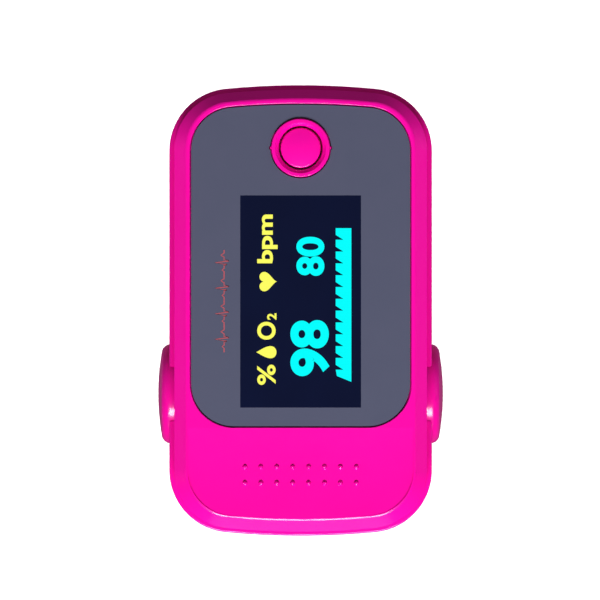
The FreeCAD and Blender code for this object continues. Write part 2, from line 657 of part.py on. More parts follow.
def bottom_cover():
    shell = cut(lower_block(), lower_cavity())
    shell = shell.common(side_profile(lower_profile(), FAR))
    shell = cut(shell, *hinge_hollows(CAP_R + CAP_FIT, EAR_OUT))
    shell = fuse(shell, *mirrored_rods(CAP_R, EAR_IN, EAR_OUT))
    inside = [piece.common(lower_block()) for piece in battery_bay()]
    for place in LOWER_SCREWS:
        inside += boss_pair([place], LOWER_BOSS_Z, lower_edge(place[1]) - PLATE_T - SEAT_T - FIT)
    shell = fuse(shell, *inside)
    shell = cut(shell, door_section(FIT), tunnel(MOUTH, SENSOR_Y, FAR), hinge_rod(PIN_R + 0.01, -FAR, FAR))
    return cut(shell, *screw_pilots(LOWER_SCREWS, LOWER_BOSS_Z + 2.0, HEIGHT))


def hinge_cap(side):
    """A domed disc over the ear, with a blind hole for the end of the pin."""
    dome_r = (CAP_R ** 2 + CAP_DOME ** 2) / (2 * CAP_DOME)
    disc = post(0, 0, CAP_R, EAR_OUT + CAP_FIT, CAP_TIP)
    disc = disc.common(Part.makeSphere(dome_r, V(0, 0, CAP_TIP - dome_r)))
    rim = [e for e in disc.Edges if e.BoundBox.ZLength < 0.01 and e.BoundBox.ZMin > EAR_OUT + 0.5]
    disc = disc.makeFillet(CAP_EDGE, rim)
    disc = cut(disc, post(0, 0, PIN_R + CAP_FIT, 0, PIN_HALF + FIT))
    disc.rotate(V(0, 0, 0), V(0, 1, 0), 90 * side)
    disc.translate(V(0, HINGE_Y, HINGE_Z))
    return disc


def lower_frame():
    plate = side_profile(lower_profile(FIT, PLATE_T), FAR)
    below = side_profile(lower_profile(FIT), FAR)
    frame = fuse(plate, tunnel(ARCH, ARCH_END_Y, FAR).common(below))
    seats = [post(x, y, SEAT_R, lower_edge(y) - PLATE_T - SEAT_T, lower_edge(y) - FIT)
             for s in LOWER_SCREWS for x, y in both_sides(*s)]
    frame = fuse(frame, *[seat.common(below) for seat in seats])
    frame = cut(frame, *mirrored_rods(COIL_ROOM_R, COIL_ROOM_IN, COIL_ROOM_OUT))
    frame = cut(frame, *mirrored_rods(KNUCKLE_R + 0.3, KNUCKLE_IN - 0.3, KNUCKLE_OUT + 0.3))
    frame = cut(frame, *leg_slots(), tunnel(TROUGH, TROUGH_END_Y, FAR))
    frame = fuse(frame, *leg_catches(-1))
    frame = cut(frame, *hinge_hollows(CAP_R + FIT, EAR_IN - FIT))
    pocket = centred_box(*EMITTER_POCKET, SENSOR_Y, EMITTER_BOARD_Z - 0.02, CHAMBER_Z)
    exit_hole = centred_box(*CABLE_EXIT, CABLE_END_Y, 0, CHAMBER_Z)
    frame = cut(frame, pocket, exit_hole, cable_slot(CABLE_FLOOR_Z - 1, CHAMBER_Z))
    frame = cut(frame, *screw_holes(LOWER_SCREWS))
    frame = cut(frame, *[post(x, y, SCREW_HEAD_R + HEAD_HOLE, z, HEIGHT) for x, y, z in lower_screw_seats()])
    return frame.common(lower_cavity(FIT))


def lower_screw_seats():
    """Each lower screw's place, with the height of the face its head bears on."""
    return [(x, y, lower_edge(y) - 1.35) for s in LOWER_SCREWS for x, y in both_sides(*s)]


def lower_screws():
    return Part.makeCompound([screw(x, y, seat, -1) for x, y, seat in lower_screw_seats()])


def battery_door():
    """A sliding plate with two side tongues, grip ridges and a pull arrow, flush with the base."""
    door = lower_block().common(door_section(0.0))
    grooves = [centred_box(GRIP_W, GRIP_L, GRIP_REAR + GRIP_PITCH * i, -1, GRIP_DEPTH)
               for i in range(GRIP_GROOVES)]
    return cut(door, *grooves, slide_arrow())


def slide_arrow():
    """A shallow triangle in the door's underside that points the way it slides."""
    corners = [V(-ARROW_HALF, ARROW_Y, -1), V(ARROW_HALF, ARROW_Y, -1), V(0, ARROW_Y - ARROW_L, -1)]
    return Part.Face(Part.makePolygon(corners + corners[:1])).extrude(V(0, 0, 1 + GRIP_DEPTH))


def battery(side):
    """An AAA cell with its positive nub; the two cells lie opposite ways."""
    can = post(0, 0, CELL_R, NUB_H, CELL_LENGTH)
    can = can.makeFillet(CELL_EDGE, level_edges(can, NUB_H) + level_edges(can, CELL_LENGTH))
    cell = fuse(can, post(0, 0, NUB_R, 0, NUB_H + 0.5))
    cell.rotate(V(0, 0, 0), V(1, 0, 0), -90 * side)
    cell.translate(V(side * CELL_X, -side * BAY_HALF_LENGTH, CELL_Z))
    return cell


def contact_spring(side):
    """A conical coil that pushes the cell's flat end."""
    end_gap = 0.02
    height = 2 * BAY_HALF_LENGTH - CELL_LENGTH - 2 * end_gap - 2 * CONTACT_WIRE_R
    path = Part.makeHelix(height / CONTACT_TURNS, height, CONTACT_COIL_R, CONTACT_CONE)
    ring = Part.Circle(V(CONTACT_COIL_R, 0, 0), V(0, 1, 0), CONTACT_WIRE_R).toShape()
    coil = Part.Wire(path.Edges).makePipeShell([Part.Wire(ring)], True, True)
    coil.translate(V(0, 0, CONTACT_WIRE_R + end_gap))
    coil.rotate(V(0, 0, 0), V(1, 0, 0), 90 * side)
    coil.translate(V(side * CELL_X, side * BAY_HALF_LENGTH, CELL_Z))
    return coil


def battery_contacts():
    """The rear bridge plate and the two front plates."""
    def plate(x0, x1, y):
        return box(x0, x1, y, y + CONTACT_T, CONTACT_LOW, CONTACT_HIGH)

    bridge = plate(-CONTACT_HALF, CONTACT_HALF, -BAY_HALF_LENGTH - CONTACT_T)
    front = [plate(x0, x1, BAY_HALF_LENGTH)
             for x0, x1 in ((-CONTACT_HALF, -CONTACT_GAP), (CONTACT_GAP, CONTACT_HALF))]
    return Part.makeCompound([bridge] + front)


def hinge_pin():
    pin = hinge_rod(PIN_R, -PIN_HALF, PIN_HALF)
    return pin.makeChamfer(0.15, [e for e in pin.Edges if e.BoundBox.XLength < 0.01])


def torsion_spring(side):
    """A coil round the pin whose two legs push the grips apart. The lower leg starts at the smaller X."""
    half_turns = COIL_TURNS + 0.5 - WEDGE / math.pi
    pitch = (COIL_OUT - COIL_IN) / half_turns
    path = Part.makeHelix(pitch, COIL_OUT - COIL_IN, COIL_R)
    ring = Part.Wire(Part.Circle(V(COIL_R, 0, 0), V(0, 1, 0), COIL_WIRE_R).toShape())
    coil = Part.Wire(path.Edges).makePipeShell([ring], True, True)
    end_angle = 2 * math.pi * half_turns
    tangent = V(-math.sin(end_angle), math.cos(end_angle), 0)
    flat_faces = [f for f in coil.Faces if isinstance(f.Surface, Part.Plane)]
    ends = sorted(flat_faces, key=lambda f: f.CenterOfMass.z)
    lower_leg = ends[0].extrude(V(0, -LEG_LENGTH, 0))
    upper_leg = ends[1].extrude(tangent * LEG_LENGTH)
    spring = coil.fuse([lower_leg, upper_leg])
    spring.rotate(V(0, 0, 0), V(0, 1, 0), 90)
    spring.rotate(V(0, 0, 0), V(1, 0, 0), math.degrees(WEDGE))
    spring.translate(V(COIL_IN if side > 0 else -COIL_OUT, HINGE_Y, HINGE_Z))
    return spring


def leg_catches(up):
    """Blocks on a frame's plate behind the hinge, each with a hole for a spring's leg; up is 1 or -1."""
    catches = []
    low, high = sorted((CATCH_LOW * up, CATCH_T * up))
    for x in (COIL_OUT, -COIL_IN) if up > 0 else (COIL_IN, -COIL_OUT):
        hole = Part.makeCylinder(COIL_WIRE_R + 0.05, FAR, V(x, -FAR, COIL_R * up), V(0, 1, 0))
        block = box(x - CATCH_HALF, x + CATCH_HALF, -CATCH_FAR, -CATCH_NEAR, low, high).cut(hole)
        block.rotate(V(0, 0, 0), V(1, 0, 0), -up * math.degrees(WEDGE))
        block.translate(V(0, HINGE_Y, HINGE_Z))
        catches.append(block)
    return catches


def leg_slots():
    """Room in the lower plate where each lower leg passes down through it."""
    return [box(x - 0.6, x + 0.6, HINGE_Y - CATCH_NEAR + 0.2, HINGE_Y, CHAMBER_Z - 4, HINGE_Z)
            for x in (COIL_IN, -COIL_OUT)]


# ---------------------------------------------------------------- sensor cable
def cable_slot(z0, z1):
    return box(-CABLE_HALF - 0.5, CABLE_HALF + 0.5, CABLE_Y - 0.8, CABLE_Y + 0.8, z0, z1)


def sensor_cable():
    """The flat lead from the main board past the pin, under the lower frame and up to the emitter board."""
    half = CABLE_T / 2

    def side(offset):
        """The cable's edge, offset to one side of its middle, from the main board to the emitter."""
        x = -CABLE_HALF
        back, low, front = CABLE_Y - offset, CABLE_FLOOR_Z - offset, CABLE_END_Y + offset
        r = CABLE_BEND + offset
        k = r * (1 - math.sqrt(0.5))
        down = Part.LineSegment(V(x, back, BOARD_Z), V(x, back, low + r))
        bend = Part.Arc(V(x, back, low + r), V(x, back + k, low + k), V(x, back + r, low))
        floor = Part.LineSegment(V(x, back + r, low), V(x, front, low))
        return [down, bend, floor], V(x, front, low)

    outer, outer_end = side(half)
    inner, inner_end = side(-half)
    rise = EMITTER_BOARD_Z
    inner_top = V(-CABLE_HALF, inner_end.y, rise)
    outer_top = V(-CABLE_HALF, outer_end.y, rise)
    close = [Part.LineSegment(outer_end, outer_top), Part.LineSegment(outer_top, inner_top),
             Part.LineSegment(inner_top, inner_end)]
    head_ends = [V(-CABLE_HALF, CABLE_Y + offset, BOARD_Z) for offset in (-half, half)]
    edges = [c.toShape() for c in outer + close + inner + [Part.LineSegment(*head_ends)]]
    wire = Part.Wire(Part.__sortEdges__(edges))
    return Part.Face(wire).extrude(V(2 * CABLE_HALF, 0, 0))


def emitter_board():
    return centred_box(*EMITTER_BOARD, SENSOR_Y, EMITTER_BOARD_Z, EMITTER_BOARD_Z + EMITTER_BOARD_T)


def emitter_led():
    """The red and infrared emitter package: a body with two raised dice domes."""
    base = EMITTER_BOARD_Z + EMITTER_BOARD_T
    width, length, thick = EMITTER
    body = centred_box(width, length, SENSOR_Y, base, base + thick)
    domes = [post(x, SENSOR_Y, DIE_R, base + thick / 2, base + thick + DIE_RISE) for x in (-DIE_X, DIE_X)]
    return fuse(body, *domes)


# ---------------------------------------------------------------- export
NODES = {
    "top_cover": top_cover,
    "display_panel": display_panel,
    "display_module": display_module,
    "display_gasket": display_gasket,
    "display_tape": display_tape,
    "display_flex": display_flex,
    "main_board": main_board,
    "board_chips": board_chips,
    "tact_switch": tact_switch,
    "switch_plunger": switch_plunger,
    "power_button": power_button,
    "upper_frame": upper_frame,
    "upper_screws": upper_screws,
    "upper_finger_pad": lambda: finger_pad(True),
    "upper_lens": lambda: lens_plate(CHAMBER_Z + LENS_OFFSET),
    "photodiode": photodiode,
    "bottom_cover": bottom_cover,
    "hinge_cap_left": lambda: hinge_cap(-1),
    "hinge_cap_right": lambda: hinge_cap(1),
    "lower_frame": lower_frame,
    "lower_screws": lower_screws,
    "lower_finger_pad": lambda: finger_pad(False),
    "lower_lens": lambda: lens_plate(CHAMBER_Z - LENS_OFFSET - LENS_T),
    "emitter_board": emitter_board,
    "emitter_led": emitter_led,
    "battery_door": battery_door,
    "battery_left": lambda: battery(-1),
    "battery_right": lambda: battery(1),
    "contact_spring_left": lambda: contact_spring(-1),
    "contact_spring_right": lambda: contact_spring(1),
    "battery_contacts": battery_contacts,
    "hinge_pin": hinge_pin,
    "torsion_spring_left": lambda: torsion_spring(-1),
    "torsion_spring_right": lambda: torsion_spring(1),
    "sensor_cable": sensor_cable,
}

for name, build in NODES.items():
    save(name, build())
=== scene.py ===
"""Looks of the fingertip pulse oximeter: materials, pads, springs, sensor cable and display graphics.

The CAD frame gives every place and size. The view is straight down on the display, with +Y up.
"""
import json
import math

import bmesh
import bpy
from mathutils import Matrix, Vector


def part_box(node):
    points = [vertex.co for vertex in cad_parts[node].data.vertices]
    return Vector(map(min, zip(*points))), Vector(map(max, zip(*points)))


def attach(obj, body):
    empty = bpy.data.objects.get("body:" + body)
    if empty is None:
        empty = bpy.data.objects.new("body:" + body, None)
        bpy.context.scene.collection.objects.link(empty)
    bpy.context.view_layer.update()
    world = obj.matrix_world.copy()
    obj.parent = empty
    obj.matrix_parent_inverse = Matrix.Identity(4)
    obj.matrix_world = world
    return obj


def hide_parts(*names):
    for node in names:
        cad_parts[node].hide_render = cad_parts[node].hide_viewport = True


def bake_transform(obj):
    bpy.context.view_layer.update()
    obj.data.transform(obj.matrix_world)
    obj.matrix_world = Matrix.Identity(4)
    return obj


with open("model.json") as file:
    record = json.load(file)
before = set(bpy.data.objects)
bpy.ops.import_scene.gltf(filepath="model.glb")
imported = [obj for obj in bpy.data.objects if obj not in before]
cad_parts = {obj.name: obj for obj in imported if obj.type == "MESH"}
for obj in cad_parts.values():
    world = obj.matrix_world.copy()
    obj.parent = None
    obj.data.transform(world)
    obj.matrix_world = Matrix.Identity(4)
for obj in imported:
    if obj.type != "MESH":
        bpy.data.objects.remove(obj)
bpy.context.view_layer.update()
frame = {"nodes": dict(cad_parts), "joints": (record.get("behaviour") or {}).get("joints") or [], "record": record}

MM = 0.001
NODES = frame["nodes"]
JAW = next(j for j in frame["joints"] if j["name"] == "jaw_hinge")
HINGE = Vector(JAW["pos_m"])
SLOT_OF = {part["node"]: part["material_slot"] for part in frame["record"]["subparts"]}


# ---------------------------------------------------------------- helpers
def linear(*srgb):
    """An sRGB colour of 0 to 255 as linear RGBA."""
    channels = [c / 255 for c in srgb]
    return tuple(c / 12.92 if c <= 0.04045 else ((c + 0.055) / 1.055) ** 2.4 for c in channels) + (1.0,)


def box_of(node):
    low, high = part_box(node)
    return Vector(low), Vector(high)


def add_mesh(name, verts, faces, material, smooth=True):
    """A new object from a vertex and face list, with outward normals."""
    mesh = bpy.data.meshes.new(name)
    mesh.from_pydata([tuple(v) for v in verts], [], faces)
    work = bmesh.new()
    work.from_mesh(mesh)
    bmesh.ops.recalc_face_normals(work, faces=work.faces)
    work.to_mesh(mesh)
    work.free()
    mesh.materials.append(material)
    for face in mesh.polygons:
        face.use_smooth = smooth
    piece = bpy.data.objects.new(name, mesh)
    bpy.context.scene.collection.objects.link(piece)
    return piece


def sweep(name, path, section, material):
    """A closed solid: a section of (side, up) offsets, carried along a path without twisting."""
    points = [Vector(p) for p in path]
    tangents = []
    for i in range(len(points)):
        ahead = points[min(i + 1, len(points) - 1)]
        behind = points[max(i - 1, 0)]
        tangents.append((ahead - behind).normalized())
    side = Vector((1, 0, 0)) if abs(tangents[0].x) < 0.9 else Vector((0, 0, 1))
    verts, faces = [], []
    count = len(section)
    for point, tangent in zip(points, tangents):
        side = (side - tangent * side.dot(tangent)).normalized()
        up = tangent.cross(side)
        verts += [point + side * a + up * b for a, b in section]
    for ring in range(len(points) - 1):
        for k in range(count):
            a, b = ring * count + k, ring * count + (k + 1) % count
            faces.append((a, b, b + count, a + count))
    faces.append(tuple(range(count)))
    faces.append(tuple(range(len(verts) - count, len(verts))))
    return add_mesh(name, verts, faces, material)


def circle(radius, count):
    return [(radius * math.cos(2 * math.pi * k / count), radius * math.sin(2 * math.pi * k / count))
            for k in range(count)]


# ---------------------------------------------------------------- material nodes
class Paint:
    """A Principled material with a few procedural layers."""

    def __init__(self, name):
        self.material = bpy.data.materials.new(name)
        self.material.use_nodes = True
        self.tree = self.material.node_tree
        self.tree.nodes.clear()
        self.shader = self.tree.nodes.new("ShaderNodeBsdfPrincipled")
        output = self.tree.nodes.new("ShaderNodeOutputMaterial")
        self.tree.links.new(self.shader.outputs["BSDF"], output.inputs["Surface"])
        self.place = self.tree.nodes.new("ShaderNodeTexCoord").outputs["Object"]

    def link(self, source, target):
        self.tree.links.new(source, target)

    def math(self, operation, a, b=None, clamp=False):
        node = self.tree.nodes.new("ShaderNodeMath")
        node.operation = operation
        node.use_clamp = clamp
        for socket, value in zip(node.inputs, (a, b)):
            if isinstance(value, (int, float)):
                socket.default_value = value
            elif value is not None:
                self.link(value, socket)
        return node.outputs[0]

    def noise(self, scale, detail=2.0, stretch=(1, 1, 1)):
        """Noise with scale features a metre, stretched along the axes."""
        mapping = self.tree.nodes.new("ShaderNodeMapping")
        mapping.inputs["Scale"].default_value = stretch
        self.link(self.place, mapping.inputs["Vector"])
        node = self.tree.nodes.new("ShaderNodeTexNoise")
        node.inputs["Scale"].default_value = scale
        node.inputs["Detail"].default_value = detail
        self.link(mapping.outputs["Vector"], node.inputs["Vector"])
        return node.outputs["Fac"]

    def axis(self, letter):
        node = self.tree.nodes.new("ShaderNodeSeparateXYZ")
        self.link(self.place, node.inputs[0])
        return node.outputs[letter]

    def inside(self, letter, low, high, soft):
        """1 between low and high along an axis, 0 outside, with an edge of width soft."""
        place = self.axis(letter)
        rise = self.math("DIVIDE", self.math("SUBTRACT", place, low), soft, clamp=True)
        fall = self.math("DIVIDE", self.math("SUBTRACT", high, place), soft, clamp=True)
        return self.math("MULTIPLY", rise, fall)

    def spread(self, factor, low, high):
        """A factor of 0 to 1 remapped to low to high."""
        node = self.tree.nodes.new("ShaderNodeMapRange")
        node.inputs["To Min"].default_value = low
        node.inputs["To Max"].default_value = high
        self.link(factor, node.inputs["Value"])
        return node.outputs["Result"]

    def blend(self, factor, a, b):
        """Colour a where factor is 0 and b where it is 1; each is a colour or a socket."""
        node = self.tree.nodes.new("ShaderNodeMix")
        node.data_type = "RGBA"
        self.link(factor, node.inputs["Factor"])
        colours = [s for s in node.inputs if s.type == "RGBA"]
        for socket, value in zip(colours, (a, b)):
            if isinstance(value, tuple):
                socket.default_value = value
            else:
                self.link(value, socket)
        return next(s for s in node.outputs if s.type == "RGBA")

    def colour(self, source):
        self.link(source, self.shader.inputs["Base Color"])

    def roughness(self, source):
        self.link(source, self.shader.inputs["Roughness"])

    def bump(self, height, depth, strength=1.0):
        """Relief of that depth in metres."""
        node = self.tree.nodes.new("ShaderNodeBump")
        node.inputs["Distance"].default_value = depth
        node.inputs["Strength"].default_value = strength
        self.link(height, node.inputs["Height"])
        self.link(node.outputs["Normal"], self.shader.inputs["Normal"])

    def set(self, **values):
        for name, value in values.items():
            self.shader.inputs[name.replace("_", " ")].default_value = value


def moulded(name, light, dark, rough, grain, depth, coat=0.0):
    """Moulded plastic or rubber: faint colour clouds, uneven gloss and a fine grain."""
    paint = Paint(name)
    paint.colour(paint.blend(paint.noise(140.0, 3.0), light, dark))
    paint.roughness(paint.spread(paint.noise(700.0), *rough))
    paint.bump(paint.noise(grain, 3.0), depth, 0.6)
    paint.set(Coat_Weight=coat, Coat_Roughness=0.12)
    return paint


def drawn_metal(name, light, dark, rough, stretch):
    """Drawn or ground metal: fine lines along one axis."""
    paint = Paint(name)
    lines = paint.noise(9000.0, 4.0, stretch)
    paint.colour(paint.blend(lines, light, dark))
    paint.roughness(paint.spread(lines, *rough))
    paint.bump(lines, 2e-6, 0.5)
    paint.set(Metallic=1.0)
    return paint


# ---------------------------------------------------------------- materials
PINK = linear(255, 3, 168)
PINK_DEEP = linear(253, 0, 162)


def shell_pink():
    """Glossy pink ABS of both covers, the button and the door."""
    paint = moulded("shell_pink", PINK, PINK_DEEP, (0.15, 0.2), 5200.0, 1.5e-6)
    paint.set(Specular_IOR_Level=0.5)
    return paint


PANEL_GREY, PANEL_GREY_DEEP = linear(86, 88, 109), linear(82, 85, 106)
WINDOW_NAVY, WINDOW_EDGE = linear(11, 19, 51), linear(8, 13, 38)
GASKET_WALL = 0.9 * MM


def window_box():
    """The clear window's low and high corner: the gasket's inner edge."""
    low, high = box_of("display_gasket")
    inset = Vector((GASKET_WALL, GASKET_WALL, 0))
    return low + inset, high - inset


def panel_grey():
    """Tinted acrylic printed grey on its back, with a clear dark window over the display."""
    paint = Paint("panel_grey")
    low, high = window_box()
    soft = 0.05 * MM
    across = paint.inside("X", low.x, high.x, soft)
    along = paint.inside("Y", low.y, high.y, soft)
    window = paint.math("MULTIPLY", across, along)
    printed = paint.blend(paint.noise(260.0, 3.0), PANEL_GREY, PANEL_GREY_DEEP)
    clear = paint.blend(paint.noise(90.0), WINDOW_NAVY, WINDOW_EDGE)
    paint.colour(paint.blend(window, printed, clear))
    paint.roughness(paint.spread(paint.noise(900.0), 0.10, 0.15))
    paint.bump(paint.noise(1500.0), 1e-6, 0.4)
    paint.set(Specular_IOR_Level=0.35)
    return paint


def display_glass():
    """The display's dark cover glass."""
    paint = moulded("display_glass", linear(14, 18, 40), linear(8, 10, 26), (0.05, 0.09), 3000.0, 1e-6)
    paint.set(Coat_Weight=0.3)
    return paint


def clear_lens():
    """Tinted clear acrylic over the optics."""
    paint = moulded("lens_clear", linear(196, 60, 66), linear(150, 36, 44), (0.05, 0.1), 2600.0, 1e-6)
    paint.set(Transmission_Weight=0.75, IOR=1.49)
    return paint


def cell_jacket():
    """An AAA cell's printed sleeve: dark, with a bright band at one end and bare steel at both rims."""
    paint = Paint("cell_jacket")
    low, high = box_of("battery_left")
    rim, band = 1.6 * MM, 11.0 * MM
    sleeve = paint.inside("Y", low.y + rim, high.y - rim, 0.1 * MM)
    copper = paint.inside("Y", high.y - band, high.y, 0.1 * MM)
    print_colour = paint.blend(copper, linear(34, 36, 42), linear(196, 128, 62))
    scuffs = paint.noise(1800.0, 5.0, (1, 0.2, 1))
    worn = paint.blend(paint.spread(scuffs, 0.0, 0.12), print_colour, linear(150, 150, 150))
    paint.colour(paint.blend(sleeve, linear(190, 190, 188), worn))
    paint.roughness(paint.spread(scuffs, 0.2, 0.4))
    paint.link(paint.spread(sleeve, 1.0, 0.15), paint.shader.inputs["Metallic"])
    return paint


def circuit_board():
    """Solder mask over copper tracks."""
    paint = Paint("board_green")
    tracks = paint.tree.nodes.new("ShaderNodeTexBrick")
    tracks.inputs["Scale"].default_value = 420.0
    tracks.inputs["Mortar Size"].default_value = 0.04
    paint.link(paint.place, tracks.inputs["Vector"])
    paint.colour(paint.blend(tracks.outputs["Fac"], linear(12, 74, 40), linear(30, 112, 62)))
    paint.roughness(paint.spread(paint.noise(1400.0), 0.25, 0.4))
    paint.bump(tracks.outputs["Fac"], 2e-5, 0.5)
    return paint


def glowing(name, colour):
    """A lit display area: even light with the faint grid of its pixels."""
    paint = Paint(name)
    grid = paint.tree.nodes.new("ShaderNodeTexBrick")
    grid.offset = 0.0
    grid.inputs["Scale"].default_value = 5200.0
    grid.inputs["Mortar Size"].default_value = 0.03
    grid.inputs["Brick Width"].default_value = 1.0
    grid.inputs["Row Height"].default_value = 1.0
    paint.link(paint.place, grid.inputs["Vector"])
    dim = tuple(0.9 * c for c in colour[:3]) + (1.0,)
    lit = paint.blend(grid.outputs["Fac"], colour, dim)
    paint.link(lit, paint.shader.inputs["Emission Color"])
    paint.colour(paint.blend(grid.outputs["Fac"], (0.0, 0.0, 0.0, 1.0), (0.002, 0.002, 0.002, 1.0)))
    paint.roughness(paint.spread(paint.noise(900.0), 0.3, 0.4))
    paint.set(Emission_Strength=1.0, Specular_IOR_Level=0.1)
    return paint


MATERIALS = {
    "shell_pink": shell_pink(),
    "panel_grey": panel_grey(),
    "display_glass": display_glass(),
    "foam_black": moulded("foam_black", linear(30, 30, 32), linear(18, 18, 20),
                          (0.8, 0.95), 2600.0, 4e-5),
    "flex_amber": moulded("flex_amber", linear(196, 128, 40), linear(168, 100, 26),
                          (0.25, 0.35), 1500.0, 3e-6),
    "board_green": circuit_board(),
    "chip_black": moulded("chip_black", linear(36, 36, 38), linear(24, 24, 26),
                          (0.45, 0.6), 5000.0, 4e-6),
    "switch_black": moulded("switch_black", linear(48, 48, 50), linear(34, 34, 36),
                            (0.4, 0.5), 5000.0, 3e-6),
    "frame_white": moulded("frame_white", linear(226, 226, 224), linear(214, 214, 213),
                           (0.36, 0.5), 4200.0, 5e-6),
    "pad_silicone": moulded("pad_silicone", linear(196, 199, 204), linear(180, 184, 190),
                            (0.42, 0.58), 3600.0, 8e-6),
    "lens_clear": clear_lens(),
    "emitter_clear": moulded("emitter_clear", linear(232, 222, 196), linear(214, 202, 170),
                             (0.1, 0.2), 3000.0, 2e-6),
    "cell_jacket": cell_jacket(),
    "spring_steel": drawn_metal("spring_steel", linear(206, 206, 208), linear(160, 160, 164),
                                (0.22, 0.36), (0.2, 1, 1)),
    "contact_nickel": drawn_metal("contact_nickel", linear(222, 218, 206), linear(190, 186, 174),
                                  (0.15, 0.3), (1, 1, 0.2)),
    "pin_steel": drawn_metal("pin_steel", linear(212, 212, 214), linear(176, 176, 180),
                             (0.16, 0.28), (0.1, 1, 1)),
    "screw_zinc": drawn_metal("screw_zinc", linear(150, 150, 156), linear(96, 96, 102),
                              (0.25, 0.42), (1, 1, 0.4)),
    "cable_grey": moulded("cable_grey", linear(150, 152, 158), linear(128, 130, 138),
                          (0.4, 0.55), 2400.0, 6e-6),
}
GLOW_CYAN = glowing("glow_cyan", linear(0, 255, 255))
GLOW_YELLOW = glowing("glow_yellow", linear(255, 255, 100))
PRINT_RED = moulded("print_red", linear(186, 84, 92), linear(170, 80, 92), (0.3, 0.45), 2400.0, 2e-6)


def paint_cad():
    """Every CAD node takes its slot's procedural material."""
    for node, piece in NODES.items():
        piece.data.materials.clear()
        piece.data.materials.append(MATERIALS[SLOT_OF[node]].material)


# ---------------------------------------------------------------- silicone pads
PAD_ARC = 48                  # points round half a sleeve
PAD_WALL_SIDE, PAD_WALL_ROOF = 2.1 * MM, 1.5 * MM
PAD_DOME = 4.4 * MM           # length of the blind end
DOME_ROWS = 13
PAD_NECK, NECK_SLIM = 6.1 * MM, 0.75 * MM
LENS_CLEARANCE = 0.1 * MM
LIP_FLARE, LIP_LENGTH = 0.7 * MM, 2.4 * MM
ROOF_FLARE = 0.4              # share of the flare that the roof takes
ROW_GAP, STEP_GAP = 4.0 * MM, 0.02 * MM
PAD_EDGE = 0.22 * MM
END_BULGE = 100.0 * MM        # radius of the shells' curved ends, in plan


